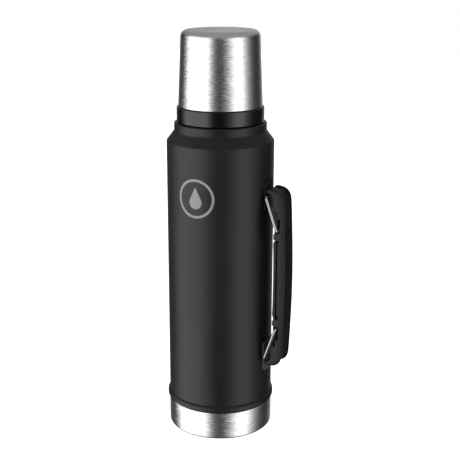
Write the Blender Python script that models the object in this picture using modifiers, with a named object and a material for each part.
"""Vacuum bottle with a screw stopper, a cup lid and a folding side handle.

Dimensions are in millimetres and the built scene is in metres, +Z up. The origin
is the centre of the base underside, the bottle's axis is +Z and the handle points
along +X.
"""
import math
from contextlib import contextmanager

import bmesh
import bpy
from mathutils import Matrix, Vector

MM = 0.001

# ---- mesh resolution ------------------------------------------------------
SEGMENTS = 48               # facets round a turned piece
SMALL_SEGMENTS = 24         # round the small parts under the flask
KNUCKLE_SEGMENTS = 20       # round the knuckles and their bores
PAD_SEGMENTS = 96           # round the curved bracket pads
ARC_STEPS = 4               # facets in a quarter circle
WELD = 2e-6                 # metres, merge distance after baking
TURN_WELD = 5e-6            # metres, merge distance where a turned piece closes
WIRE_WELD = 1e-5            # metres, merge distance for the wires

# ---- bottle ---------------------------------------------------------------
TOTAL_H = 362.0             # table to cup top
BODY_R = 47.3               # painted shell
BASE_R = 47.6               # bare steel base cup
BEAD_R = 49.0               # rolled bead above the base cup
WALL = 0.6                  # sheet thickness
BASE_TOP = 25.5
BEAD_TOP = 31.8
SHOULDER_Z = 266.8          # body wall ends, shoulder begins
NECK_R = 40.6
NECK_Z0 = 276.2
NECK_Z1 = 283.4
COLLAR_R = 34.6             # threaded collar that the cup screws on to
COLLAR_TOP = 295.8
SHELL_LIP_R = 29.3          # shell's inner edge at the collar top
BASE_SEAT_R = 46.4          # shell wall inside the base cup
BASE_SEAT_Z = 6.5           # lower edge of that wall
FLASK_R = 42.5              # inner flask outside
FLASK_Z0 = 24.0             # lower edge of the flask wall
MOUTH_R = 28.0              # bore of the mouth
RIM_TOP = 297.8

# ---- stopper and cup lid --------------------------------------------------
PLUG_R = 26.3
PLUG_BOTTOM = 272.0
PLUG_BORE_R = 23.9
CORE_R = 23.4               # foam core inside the plug
CAP_Z0 = 301.8
CAP_Z1 = 311.0
CAP_BORE_R = 22.6
FLUTES = 16
FLUTE_STATIONS = [          # (fraction of the flute pitch, radius)
    (0.0, 26.0), (0.28, 26.0), (0.5, 24.9), (0.78, 24.9)]
RING_R = 38.3               # plastic ring at the cup's mouth
RING_BORE_R = 36.35
RING_Z0 = 283.9
RING_Z1 = 297.0
CUP_R0 = 36.8               # steel cup at its mouth
CUP_R1 = 34.2               # steel cup below its top corner
CUP_Z0 = 297.4

# ---- threads --------------------------------------------------------------
LEAD = 12.0                 # lift per turn
STARTS = 2
THREAD_ROOT_W = 2.3         # ridge width at its root
THREAD_CREST_W = 1.1        # ridge width at its crest
THREAD_SINK = 0.4           # root buried in the wall
CUP_THREAD_Z = 287.0        # collar and ring threads start here

# ---- handle; x is the distance from the bottle axis -----------------------
HANDLE_Z = 148.0            # mid height of the handle
BRACKET_Z = 74.6            # pad centre, distance from handle mid height
BRACKET_HALF_W = 8.6
BRACKET_HALF_H = 14.3
BRACKET_CORNER_R = 3.6
BRACKET_BAND_HALF = 20.0    # half height of the band that curves the pad
PAD_R0 = BODY_R + 0.35
PAD_R1 = BODY_R + 1.15
KNUCKLE_R = 2.5
KNUCKLE_LENGTH = 8.0
BORE_CLEARANCE = 0.3
PIVOT_X = 49.5              # bail pivot
PIVOT_Z = 75.6              # its distance from handle mid height
END_X = 60.2                # folded bail end
END_Z = 45.0                # its distance from handle mid height
END_HALF_GAP = 2.4          # turned-in ends stop this far from the middle
WIRE_R = 1.2
BEND_R = 2.4
LEG_Y = 12.0                # bail legs, outside the grip on either side

GRIP_HALF = 10.0            # half width of the grip
FACE_HALF = 9.2             # half width of its outer face
CHANNEL_HALF = 8.9          # half width of the channel inside the grip
VALLEY_HALF = 7.2           # half width of the groove between the two rails
WEB_HALF = 4.0
SLOT_REACH = 12.0           # slot cutter, half width
PAD_HALF_H = 42.9           # half length of the soft pad in the groove
PAD_SIDE_GAP = 0.3
PAD_CORNER_R = 1.2
PAD_SINK = 1.6              # soft pad, below the outer face
PAD_RISE = 0.95             # soft pad, above the outer face
PAD_STATIONS = [-50, -46, -30, -14, 0, 14, 30, 46, 50]   # heights from mid
STRIP_HALF = 8.0
STEM_HALF = 6.4
STEM_HALF_H = 34.0
STEM_X0 = 57.6
STEM_X1 = 62.2

# Handle outlines, (x, height from handle mid). The half outlines are mirrored.
OUTER = [
    (67.7, 0), (67.6, 14), (67.2, 30), (66.6, 46), (66.1, 58), (65.7, 66),
    (65.4, 70.5), (64.7, 74.6), (63.3, 77.6), (61.2, 79.8), (58.7, 81.2),
    (56.0, 81.9), (53.0, 82.1), (50.6, 81.7), (49.3, 80.6), (49.0, 79.4)]
INNER = [
    (49.5, 78.9), (51.5, 78.0), (53.6, 76.6), (54.9, 74.6), (55.3, 72.0),
    (55.5, 63.6), (56.3, 62.4), (59.7, 62.0), (59.7, 44.0), (59.2, 43.0),
    (56.2, 42.4), (56.2, 38.0), (57.4, 36.8), (61.7, 36.4), (61.7, 0)]
# Floor of the groove, closed by a box outside the grip.
VALLEY = [
    (65.8, 0), (65.7, 14), (65.3, 30), (64.7, 46), (64.2, 58), (63.8, 66),
    (63.4, 70.4), (62.6, 73.8), (61.3, 76.3), (59.6, 78.2), (57.6, 79.4),
    (55.3, 80.1), (52.8, 80.3), (46.0, 80.2), (46.0, 90.0), (80.0, 90.0)]
CHANNEL = [
    (63.8, 0), (63.7, 20), (63.3, 40), (62.8, 56), (62.5, 66), (62.0, 70.1),
    (61.1, 73.1), (59.9, 75.3), (58.4, 77.0), (56.6, 78.0), (54.5, 78.6),
    (52.0, 78.7), (44.0, 78.6)]
STRIP = [
    (55.8, 0), (55.7, 14), (55.5, 26), (55.3, 32.4), (55.8, 34.8), (57.0, 36.1),
    (58.5, 36.1)]
# Closed outlines, built once above and once below mid height.
WEB = [
    (54.6, 37.0), (54.6, 50.0), (52.8, 57.0), (52.8, 65.5), (53.8, 67.0),
    (63.0, 67.0), (63.7, 37.0)]
SLOT = [
    (END_X - 1.85, 44.0), (END_X - 1.1, 43.2), (END_X + 1.1, 43.2), (END_X + 1.85, 44.0),
    (END_X + 1.85, 55.6), (END_X + 1.1, 56.4), (END_X - 1.1, 56.4), (END_X - 1.85, 55.6)]
# Width of the sloping band at each OUTER point.
BAND = [4.5] * 9 + [4.2, 3.6, 2.8, 2.0, 1.0, 0.3, 0.0]
ROUNDED_POINTS = 12         # OUTER edges, counted from mid height, that are rounded

MATERIAL_SPECS = {          # name: (base colour, roughness, metallic)
    "black_powder_coat": ((0.018, 0.018, 0.020), 0.46, 0.0),
    "brushed_steel_base": ((0.62, 0.62, 0.61), 0.30, 1.0),
    "flask_steel": ((0.60, 0.60, 0.58), 0.24, 1.0),
    "flask_bottom_steel": ((0.57, 0.57, 0.56), 0.28, 1.0),
    "closing_plate_steel": ((0.50, 0.50, 0.49), 0.38, 1.0),
    "sealing_glass": ((0.10, 0.12, 0.11), 0.20, 0.0),
    "getter_metal": ((0.34, 0.33, 0.32), 0.45, 1.0),
    "getter_clip_steel": ((0.45, 0.45, 0.44), 0.35, 1.0),
    "bracket_black": ((0.020, 0.021, 0.021), 0.42, 0.3),
    "bracket_dark": ((0.030, 0.036, 0.032), 0.42, 0.3),
    "grip_plastic": ((0.030, 0.030, 0.032), 0.48, 0.0),
    "grip_rubber": ((0.014, 0.014, 0.015), 0.72, 0.0),
    "strip_plastic": ((0.024, 0.024, 0.026), 0.55, 0.0),
    "wire_steel_upper": ((0.72, 0.72, 0.71), 0.18, 1.0),
    "wire_steel_lower": ((0.72, 0.72, 0.71), 0.18, 1.0),
    "brushed_steel_cup": ((0.63, 0.63, 0.62), 0.30, 1.0),
    "cup_liner_plastic": ((0.012, 0.012, 0.013), 0.16, 0.0),
    "cup_foam": ((0.78, 0.76, 0.70), 0.90, 0.0),
    "stopper_plastic": ((0.022, 0.022, 0.024), 0.40, 0.0),
    "stopper_cap_plastic": ((0.026, 0.026, 0.028), 0.36, 0.0),
    "stopper_core_foam": ((0.80, 0.78, 0.72), 0.90, 0.0),
    "silicone_seal": ((0.42, 0.42, 0.41), 0.62, 0.0),
}

# ---- scene set-up ---------------------------------------------------------
for old_object in list(bpy.data.objects):
    bpy.data.objects.remove(old_object, do_unlink=True)
for old_collection in list(bpy.data.collections):
    bpy.data.collections.remove(old_collection)

parts = bpy.data.collections.new("vacuum_bottle")
cutters = bpy.data.collections.new("cutters")
bpy.context.scene.collection.children.link(parts)
bpy.context.scene.collection.children.link(cutters)


def make_material(name, colour, roughness, metallic):
    material = bpy.data.materials.new(name)
    material.use_nodes = True
    inputs = material.node_tree.nodes["Principled BSDF"].inputs
    inputs["Base Color"].default_value = (*colour, 1.0)
    inputs["Roughness"].default_value = roughness
    inputs["Metallic"].default_value = metallic
    material.diffuse_color = (*colour, 1.0)
    return material


materials = {name: make_material(name, *spec) for name, spec in MATERIAL_SPECS.items()}


# ---- object and mesh helpers ----------------------------------------------
def add(name, mesh, material=None):
    """Link a mesh as a part or, when it has no material, as a hidden cutter."""
    obj = bpy.data.objects.new(name, mesh)
    if material is None:
        cutters.objects.link(obj)
        obj.hide_render = True
        obj.display_type = "WIRE"
    else:
        parts.objects.link(obj)
        mesh.materials.append(materials[material])
    return obj


@contextmanager
def editing(mesh):
    """Open a mesh for bmesh work and write it back afterwards."""
    edit = bmesh.new()
    edit.from_mesh(mesh)
    yield edit
    edit.to_mesh(mesh)
    edit.free()


def smooth(obj, angle=32.0):
    for polygon in obj.data.polygons:
        polygon.use_smooth = True
    obj.data.set_sharp_from_angle(angle=math.radians(angle))


def evaluated(obj):
    """A plain mesh of the object with its modifiers worked in."""
    bpy.context.view_layer.update()
    depsgraph = bpy.context.evaluated_depsgraph_get()
    return bpy.data.meshes.new_from_object(obj.evaluated_get(depsgraph))


def bake(obj):
    """Replace an object's modifiers with the mesh they give."""
    mesh = evaluated(obj)
    kept = list(obj.data.materials)
    obj.modifiers.clear()
    obj.data = mesh
    mesh.materials.clear()
    for material in kept:
        mesh.materials.append(material)
    with editing(mesh) as edit:
        bmesh.ops.remove_doubles(edit, verts=edit.verts, dist=WELD)


def combine(obj, *steps):
    """Apply (operation, tool) booleans in order, then remove the tools."""
    for operation, tool in steps:
        modifier = obj.modifiers.new(tool.name, "BOOLEAN")
        modifier.operation = operation
        modifier.solver = "EXACT"
        modifier.object = tool
    bake(obj)
    for _, tool in steps:
        bpy.data.objects.remove(tool, do_unlink=True)


def bevel(obj, width, segments, angle=None):
    """Round the edges sharper than an angle or, without one, the weighted edges."""
    modifier = obj.modifiers.new("edges", "BEVEL")
    modifier.width = width * MM
    modifier.segments = segments
    modifier.use_clamp_overlap = True
    if angle is None:
        modifier.limit_method = "WEIGHT"
    else:
        modifier.limit_method = "ANGLE"
        modifier.angle_limit = math.radians(angle)
    bake(obj)


def moved_verts(result):
    return [item for item in result["geom"] if isinstance(item, bmesh.types.BMVert)]


# ---- turned shapes --------------------------------------------------------
def profile_mesh(name, points, closed=True):
    """Edges through (radius, height) points in the XZ plane."""
    mesh = bpy.data.meshes.new(name)
    with editing(mesh) as edit:
        verts = [edit.verts.new((radius * MM, 0.0, z * MM)) for radius, z in points]
        for start, end in zip(verts, verts[1:]):
            edit.edges.new((start, end))
        if closed:
            edit.edges.new((verts[-1], verts[0]))
    return mesh


def screw(obj, turns, steps, rise=0.0, merge=False):
    """Sweep a profile about Z and bake the result."""
    modifier = obj.modifiers.new("screw", "SCREW")
    modifier.axis = "Z"
    modifier.angle = math.tau * turns
    modifier.screw_offset = rise * MM
    modifier.steps = steps
    modifier.render_steps = steps
    modifier.use_merge_vertices = merge
    modifier.merge_threshold = TURN_WELD
    bake(obj)


def lathe(name, profile, material=None, segments=SEGMENTS):
    """Turn a profile of (radius, height) about Z.

    A profile whose ends both lie on the axis is open, any other is a loop.
    Points are put in clockwise order before turning.
    """
    points = list(profile)
    is_open = abs(points[0][0]) < 1e-9 and abs(points[-1][0]) < 1e-9
    area = 0.0
    for (x0, z0), (x1, z1) in zip(points, points[1:] + points[:1]):
        area += x0 * z1 - x1 * z0
    if area > 0:
        points.reverse()
    obj = add(name, profile_mesh(name, points, closed=not is_open), material)
    screw(obj, turns=1, steps=segments, merge=True)
    with editing(obj.data) as edit:
        bmesh.ops.recalc_face_normals(edit, faces=edit.faces)
    smooth(obj)
    return obj


def add_thread(obj, name, root_r, crest_r, z_start, turns, start_deg=0.0):
    """Join helical ridges to a turned piece: a trapezoid swept up a helix per start."""
    root_half = THREAD_ROOT_W / 2
    crest_half = THREAD_CREST_W / 2
    ridge = add(name, profile_mesh(name, [
        (root_r, z_start + root_half), (crest_r, z_start + crest_half),
        (crest_r, z_start - crest_half), (root_r, z_start - root_half)]))
    screw(ridge, turns, steps=max(6, round(SEGMENTS * turns)), rise=LEAD * turns)
    with editing(ridge.data) as edit:
        ends = [edge for edge in edit.edges if edge.is_boundary]
        bmesh.ops.holes_fill(edit, edges=ends, sides=0)
        first = edit.verts[:] + edit.edges[:] + edit.faces[:]
        for i in range(1, STARTS):
            copy = bmesh.ops.duplicate(edit, geom=first)
            bmesh.ops.rotate(edit, cent=(0, 0, 0), verts=moved_verts(copy),
                             matrix=Matrix.Rotation(math.tau * i / STARTS, 3, "Z"))
        bmesh.ops.rotate(edit, cent=(0, 0, 0), verts=edit.verts,
                         matrix=Matrix.Rotation(math.radians(start_deg), 3, "Z"))
        bmesh.ops.recalc_face_normals(edit, faces=edit.faces)
    combine(obj, ("UNION", ridge))
    smooth(obj)


# ---- straight shapes ------------------------------------------------------
# Where x, y and z come from in (first, second, depth), for each outline plane.
PLANES = {"XZ": (0, 2, 1), "YZ": (2, 0, 1), "XY": (0, 1, 2)}


def prism(name, outline, low, high, material=None, plane="XZ"):
    """A flat outline drawn out from low to high, square to its plane."""
    def place(*coords):
        return Vector([coords[i] for i in PLANES[plane]]) * MM

    mesh = bpy.data.meshes.new(name)
    with editing(mesh) as edit:
        face = edit.faces.new([edit.verts.new(place(*point, low)) for point in outline])
        extruded = bmesh.ops.extrude_face_region(edit, geom=[face])
        bmesh.ops.translate(edit, vec=place(0, 0, high) - place(0, 0, low),
                            verts=moved_verts(extruded))
        bmesh.ops.recalc_face_normals(edit, faces=edit.faces)
    return add(name, mesh, material)


def cylinder(name, radius, length, centre, segments, along_y=False):
    """A cylindrical cutter along Z or Y."""
    mesh = bpy.data.meshes.new(name)
    with editing(mesh) as edit:
        bmesh.ops.create_cone(edit, cap_ends=True, segments=segments, radius1=radius * MM,
                              radius2=radius * MM, depth=length * MM)
        if along_y:
            bmesh.ops.rotate(edit, cent=(0, 0, 0), verts=edit.verts,
                             matrix=Matrix.Rotation(math.pi / 2, 3, "X"))
        bmesh.ops.translate(edit, vec=Vector(centre) * MM, verts=edit.verts)
    return add(name, mesh)


def quarter_arc(centre_a, centre_b, radius, start_deg):
    angles = [math.radians(start_deg + 90.0 * i / ARC_STEPS) for i in range(ARC_STEPS + 1)]
    return [(centre_a + radius * math.cos(angle), centre_b + radius * math.sin(angle))
            for angle in angles]


def round_rect(half_w, half_h, radius, z_mid):
    """Rounded rectangle as (y, z), centred on y = 0."""
    points = []
    for side_y, side_z, start_deg in ((1, 1, 0), (-1, 1, 90), (-1, -1, 180), (1, -1, 270)):
        points += quarter_arc(side_y * (half_w - radius), z_mid + side_z * (half_h - radius),
                              radius, start_deg)
    return points


def on_handle(points, side=1):
    """Outline points placed at the handle, upside down for side -1."""
    return [(x, HANDLE_Z + side * z) for x, z in points]


def mirrored(half):
    """Upper half outline at the handle, followed by its mirror image."""
    return on_handle(half) + on_handle([(x, z) for x, z in reversed(half) if z > 1e-9], -1)


# ---- bottle body; every lathe profile is (radius, height) -----------------
shell = lathe("outer_shell", [
    (SHELL_LIP_R, COLLAR_TOP), (33.9, COLLAR_TOP), (COLLAR_R, COLLAR_TOP - 0.7),
    (COLLAR_R, NECK_Z1), (39.5, NECK_Z1), (40.3, NECK_Z1 - 0.3), (NECK_R, NECK_Z1 - 1.1),
    (NECK_R, NECK_Z0), (45.9, 269.3), (46.9, 268.2), (BODY_R, SHOULDER_Z),
    (BODY_R, BEAD_TOP + 0.4), (48.2, BEAD_TOP), (48.8, 31.0), (BEAD_R, 29.4), (BEAD_R, 28.2),
    (48.8, 26.8), (48.2, 26.0), (47.2, 25.9), (BASE_SEAT_R, 25.9), (BASE_SEAT_R, BASE_SEAT_Z),
    (BASE_SEAT_R - WALL, BASE_SEAT_Z), (BASE_SEAT_R - WALL, 26.6), (BODY_R - WALL, 28.0),
    (BODY_R - WALL, 266.2), (45.4, 268.4), (NECK_R - WALL, 275.6),
    (NECK_R - WALL, NECK_Z1 - WALL), (COLLAR_R - WALL, NECK_Z1 - WALL),
    (COLLAR_R - WALL, COLLAR_TOP - WALL), (SHELL_LIP_R, COLLAR_TOP - WALL),
], "black_powder_coat")
add_thread(shell, "collar_thread", root_r=COLLAR_R - THREAD_SINK, crest_r=35.9,
           z_start=CUP_THREAD_Z, turns=0.58)

lathe("base_cup", [
    (0, 0.8), (38.2, 0.8), (39.3, 1.6), (40.7, 1.6), (41.8, 0.8), (45.8, 0.8),
    (BASE_R - WALL, 2.0), (BASE_R - WALL, BASE_TOP), (BASE_R, BASE_TOP), (BASE_R, 1.6),
    (47.2, 0.6), (46.2, 0.0), (42.0, 0.0), (40.9, 0.9), (39.1, 0.9), (38.0, 0.0), (0, 0.0),
], "brushed_steel_base")

lathe("vacuum_bottom", [
    (0, 11.4), (6.0, 11.0), (7.8, 9.6), (43.4, 9.6), (44.4, 10.6), (44.4, 13.6),
    (45.2, 13.6), (45.2, 9.6), (44.4, 8.8), (7.4, 8.8), (5.4, 10.2), (0, 10.6),
], "closing_plate_steel")

lathe("vacuum_seal", [
    (0, 10.0), (2.6, 9.8), (4.0, 9.2), (4.3, 8.7), (3.6, 8.1), (0, 7.8),
], "sealing_glass", SMALL_SEGMENTS)

flask = lathe("inner_flask", [
    (MOUTH_R, RIM_TOP - 0.6), (28.6, RIM_TOP), (31.0, RIM_TOP), (31.6, RIM_TOP - 0.6),
    (31.6, COLLAR_TOP + 0.4), (28.8, COLLAR_TOP + 0.4), (28.8, 270.2), (30.4, 267.5),
    (39.5, 262.7), (41.9, 260.4), (FLASK_R, 257.5), (FLASK_R, FLASK_Z0),
    (FLASK_R - WALL, FLASK_Z0), (FLASK_R - WALL, 257.3), (41.2, 259.9), (39.1, 261.9),
    (29.9, 266.8), (MOUTH_R, 269.9),
], "flask_steel")
add_thread(flask, "mouth_thread", root_r=MOUTH_R + THREAD_SINK, crest_r=26.75,
           z_start=284.0, turns=0.58)

lathe("flask_bottom", [
    (0, 22.8), (34.0, 23.6), (39.2, 26.0), (40.5, 28.6), (40.5, 33.0), (41.3, 33.0),
    (41.3, 28.2), (39.8, 25.2), (34.2, 22.8), (0, 22.0),
], "flask_bottom_steel")

lathe("getter", [(4.6, 20.3), (8.0, 20.3), (8.0, 18.1), (4.6, 18.1)],
      "getter_metal", SMALL_SEGMENTS)

prism("getter_clip", [      # (x, z), a shallow channel section
    (-12.0, 21.5), (-11.3, 21.5), (-11.3, 17.7), (11.3, 17.7), (11.3, 21.5), (12.0, 21.5),
    (12.0, 17.0), (-12.0, 17.0)], -3.0, 3.0, "getter_clip_steel")


# ---- handle brackets and bails; side is 1 above mid height, -1 below ------
def make_bracket(name, side, material):
    """A curved pad with a bored knuckle for the bail."""
    z_pad = HANDLE_Z + side * BRACKET_Z
    pivot = (PIVOT_X, 0.0, HANDLE_Z + side * PIVOT_Z)
    z_top = z_pad + BRACKET_BAND_HALF
    z_bottom = z_pad - BRACKET_BAND_HALF
    outline = round_rect(BRACKET_HALF_W, BRACKET_HALF_H, BRACKET_CORNER_R, z_pad)
    pad = prism(name, outline, 40.0, 60.0, material, plane="YZ")
    band = lathe(name + "_band", [
        (PAD_R0, z_top), (PAD_R1, z_top), (PAD_R1, z_bottom), (PAD_R0, z_bottom),
    ], segments=PAD_SEGMENTS)
    knuckle = cylinder(name + "_knuckle", KNUCKLE_R, KNUCKLE_LENGTH, pivot,
                       KNUCKLE_SEGMENTS, along_y=True)
    # Trim the knuckle back to the inside face of the pad.
    core = cylinder(name + "_core", PAD_R0, 60.0, (0.0, 0.0, z_pad), PAD_SEGMENTS)
    combine(knuckle, ("DIFFERENCE", core))
    bore = cylinder(name + "_bore", WIRE_R + BORE_CLEARANCE, 24.0, pivot,
                    KNUCKLE_SEGMENTS, along_y=True)
    combine(pad, ("INTERSECT", band), ("UNION", knuckle), ("DIFFERENCE", bore))
    smooth(pad, 30)


def make_bail(name, side, material):
    """Bent wire: a cross bar in the knuckle, two legs and turned-in ends."""
    leg = Vector((END_X - PIVOT_X, 0.0, -side * (PIVOT_Z - END_Z)))
    length = leg.length
    leg.normalize()
    across = Vector((0, 1, 0))
    # Points are (distance along the leg from the pivot, y).
    path = [(length, END_HALF_GAP)]
    path += quarter_arc(length - BEND_R, LEG_Y - BEND_R, BEND_R, 0)
    path += quarter_arc(BEND_R, LEG_Y - BEND_R, BEND_R, 90)
    path += quarter_arc(BEND_R, -LEG_Y + BEND_R, BEND_R, 180)
    path += quarter_arc(length - BEND_R, -LEG_Y + BEND_R, BEND_R, 270)
    path.append((length, -END_HALF_GAP))

    curve = bpy.data.curves.new(name, "CURVE")
    curve.dimensions = "3D"
    curve.bevel_depth = WIRE_R * MM
    curve.bevel_resolution = 2
    curve.use_fill_caps = True
    spline = curve.splines.new("POLY")
    spline.points.add(len(path) - 1)
    for point, (along, y) in zip(spline.points, path):
        point.co = (*((leg * along + across * y) * MM), 1.0)
    wire = bpy.data.objects.new(name + "_curve", curve)
    parts.objects.link(wire)
    mesh = evaluated(wire)
    bpy.data.objects.remove(wire, do_unlink=True)
    with editing(mesh) as edit:
        bmesh.ops.remove_doubles(edit, verts=edit.verts, dist=WIRE_WELD)
        bmesh.ops.recalc_face_normals(edit, faces=edit.faces)
    obj = add(name, mesh, material)
    obj.location = Vector((PIVOT_X, 0.0, HANDLE_Z + side * PIVOT_Z)) * MM
    smooth(obj, 60)


make_bracket("upper_bracket", 1, "bracket_black")
make_bracket("lower_bracket", -1, "bracket_dark")
make_bail("upper_bail", 1, "wire_steel_upper")
make_bail("lower_bail", -1, "wire_steel_lower")


# ---- grip -----------------------------------------------------------------
def outer_x(z):
    """Distance of the grip's outer face from the axis at a height from mid."""
    z = abs(z)
    return next(x0 + (x1 - x0) * (z - z0) / (z1 - z0)
                for (x0, z0), (x1, z1) in zip(OUTER, OUTER[1:]) if z0 <= z <= z1)


def inset(points, amounts):
    """Points moved towards the inside of the outline, square to it."""
    moved = []
    for k, ((x, z), amount) in enumerate(zip(points, amounts)):
        before = points[max(0, k - 1)]
        after = points[min(len(points) - 1, k + 1)]
        # The outline runs straight up where it crosses mid height.
        run_x, run_z = (0.0, 1.0) if k == 0 else (after[0] - before[0], after[1] - before[1])
        run = math.hypot(run_x, run_z)
        moved.append((x - amount * run_z / run, z + amount * run_x / run))
    return moved


def make_grip_blank(name, material):
    """Flat sides, a sloping band and a narrower outer face.

    Each ring climbs the outer face, comes back down the inner face to mid
    height, carries on below it and returns up the outer face.
    """
    side_ring = mirrored(inset(OUTER, BAND) + INNER)
    face_ring = mirrored(OUTER + INNER)
    mesh = bpy.data.meshes.new(name)
    with editing(mesh) as edit:
        rings = [[edit.verts.new((x * MM, y * MM, z * MM)) for x, z in ring]
                 for y, ring in ((-GRIP_HALF, side_ring), (-FACE_HALF, face_ring),
                                 (FACE_HALF, face_ring), (GRIP_HALF, side_ring))]
        count = len(face_ring)
        for ring, beyond in zip(rings, rings[1:]):
            for k in range(count):
                following = (k + 1) % count
                edit.faces.new((ring[k], ring[following], beyond[following], beyond[k]))
        edit.faces.new(rings[0])
        edit.faces.new(rings[-1])
        bmesh.ops.recalc_face_normals(edit, faces=edit.faces)
        weights = edit.edges.layers.float.new("bevel_weight_edge")
        for ring in rings[1:3]:
            for k in range(count):
                if k < ROUNDED_POINTS or k >= count - ROUNDED_POINTS:
                    edit.edges.get((ring[k], ring[(k + 1) % count]))[weights] = 1.0
        bmesh.ops.triangulate(edit, faces=[face for face in edit.faces if len(face.verts) == 4])
    return add(name, mesh, material)


def make_frame():
    frame = make_grip_blank("grip_frame", "grip_plastic")
    bevel(frame, 1.2, 3)
    steps = [("DIFFERENCE", prism("channel", mirrored(CHANNEL), -CHANNEL_HALF, CHANNEL_HALF))]
    for side in (1, -1):
        # The web's inner edge runs beside the folded bail; the slot takes the
        # bail's ends through both side plates and the web.
        web = prism("web", on_handle(WEB, side), -WEB_HALF, WEB_HALF)
        slot = prism("slot", on_handle(SLOT, side), -SLOT_REACH, SLOT_REACH)
        steps += [("UNION", web), ("DIFFERENCE", slot)]
    valley = prism("valley", mirrored(VALLEY), -VALLEY_HALF, VALLEY_HALF)
    combine(frame, *steps, ("DIFFERENCE", valley))
    smooth(frame, 28)


def make_soft_pad():
    """Pad in the groove, clipped by a slab that follows the outer face."""
    outline = round_rect(VALLEY_HALF - PAD_SIDE_GAP, PAD_HALF_H, PAD_CORNER_R, HANDLE_Z)
    pad = prism("grip_overmould", outline, 60.0, 75.0, "grip_rubber", plane="YZ")
    top = [(outer_x(z) + PAD_RISE, z) for z in PAD_STATIONS]
    bottom = [(outer_x(z) - PAD_SINK, z) for z in reversed(PAD_STATIONS)]
    combine(pad, ("INTERSECT", prism("slab", on_handle(top + bottom), -14.0, 14.0)))
    bevel(pad, 0.5, 2, angle=50)
    smooth(pad, 28)


def make_finger_strip():
    """A rounded head on a narrower stem that reaches into the channel."""
    strip = prism("grip_inner_strip", mirrored(STRIP), -STRIP_HALF, STRIP_HALF, "strip_plastic")
    bevel(strip, 0.8, 2, angle=50)
    stem = prism("stem", on_handle([
        (STEM_X0, -STEM_HALF_H), (STEM_X1, -STEM_HALF_H),
        (STEM_X1, STEM_HALF_H), (STEM_X0, STEM_HALF_H)]), -STEM_HALF, STEM_HALF)
    combine(strip, ("UNION", stem))
    smooth(strip, 28)


make_frame()
make_soft_pad()
make_finger_strip()

# ---- stopper --------------------------------------------------------------
plug = lathe("stopper_body", [
    (0, PLUG_BOTTOM + 2.0), (PLUG_BORE_R, PLUG_BOTTOM + 2.0), (PLUG_BORE_R, 301.4),
    (30.8, 301.4), (31.4, 300.8), (31.4, 299.8), (PLUG_R, 299.8),
    (PLUG_R, PLUG_BOTTOM + 1.2), (25.4, PLUG_BOTTOM), (0, PLUG_BOTTOM),
], "stopper_plastic")
add_thread(plug, "plug_thread", root_r=PLUG_R - THREAD_SINK, crest_r=27.55,
           z_start=281.0, turns=0.62, start_deg=-180.0)

lathe("stopper_seal", [
    (26.8, 299.4), (30.6, 299.4), (31.1, 298.9), (31.1, 298.5), (30.7, 298.15), (26.8, 298.15),
], "silicone_seal")

lathe("stopper_core", [
    (0, 301.2), (CORE_R, 301.2), (CORE_R, PLUG_BOTTOM + 2.4), (0, PLUG_BOTTOM + 2.4),
], "stopper_core_foam")


def make_stopper_cap():
    """A fluted knob, hollow from below."""
    outline = []
    for i in range(FLUTES):
        for fraction, radius in FLUTE_STATIONS:
            angle = math.tau * (i + fraction) / FLUTES
            outline.append((radius * math.cos(angle), radius * math.sin(angle)))
    cap = prism("stopper_cap", outline, CAP_Z0, CAP_Z1, "stopper_cap_plastic", plane="XY")
    bevel(cap, 0.8, 1, angle=60)
    hollow = cylinder("hollow", CAP_BORE_R, 16.0, (0, 0, 300.8), SEGMENTS)
    combine(cap, ("DIFFERENCE", hollow))
    smooth(cap, 25)


make_stopper_cap()

# ---- cup lid --------------------------------------------------------------
lathe("cup_shell", [
    (0, TOTAL_H), (28.6, TOTAL_H), (30.9, 361.5), (32.7, 360.3), (33.8, 358.6),
    (CUP_R1, 356.4), (CUP_R0, CUP_Z0), (CUP_R0 - WALL, CUP_Z0), (CUP_R1 - WALL, 356.3),
    (33.2, 358.2), (32.3, 359.7), (30.7, 360.8), (28.6, 361.3), (0, 361.3),
], "brushed_steel_cup")

liner = lathe("cup_liner", [
    (0, 357.8), (28.6, 357.8), (31.1, 356.5), (32.3, 353.6), (34.9, 299.0), (35.3, RING_Z1),
    (37.7, RING_Z1), (RING_R, RING_Z1 - 0.6), (RING_R, RING_Z0 + 0.6), (37.7, RING_Z0),
    (36.9, RING_Z0), (RING_BORE_R, RING_Z0 + 0.6), (RING_BORE_R, 296.2), (33.4, 298.0),
    (31.1, 352.8), (30.2, 355.2), (28.4, 356.4), (0, 356.4),
], "cup_liner_plastic")
add_thread(liner, "ring_thread", root_r=RING_BORE_R + THREAD_SINK, crest_r=35.05,
           z_start=CUP_THREAD_Z, turns=0.5, start_deg=-90.0)

lathe("cup_insulation", [
    (0, 360.8), (27.4, 360.8), (28.0, 360.2), (28.0, 358.9), (27.4, 358.3), (0, 358.3),
], "cup_foam")

bpy.context.view_layer.update()
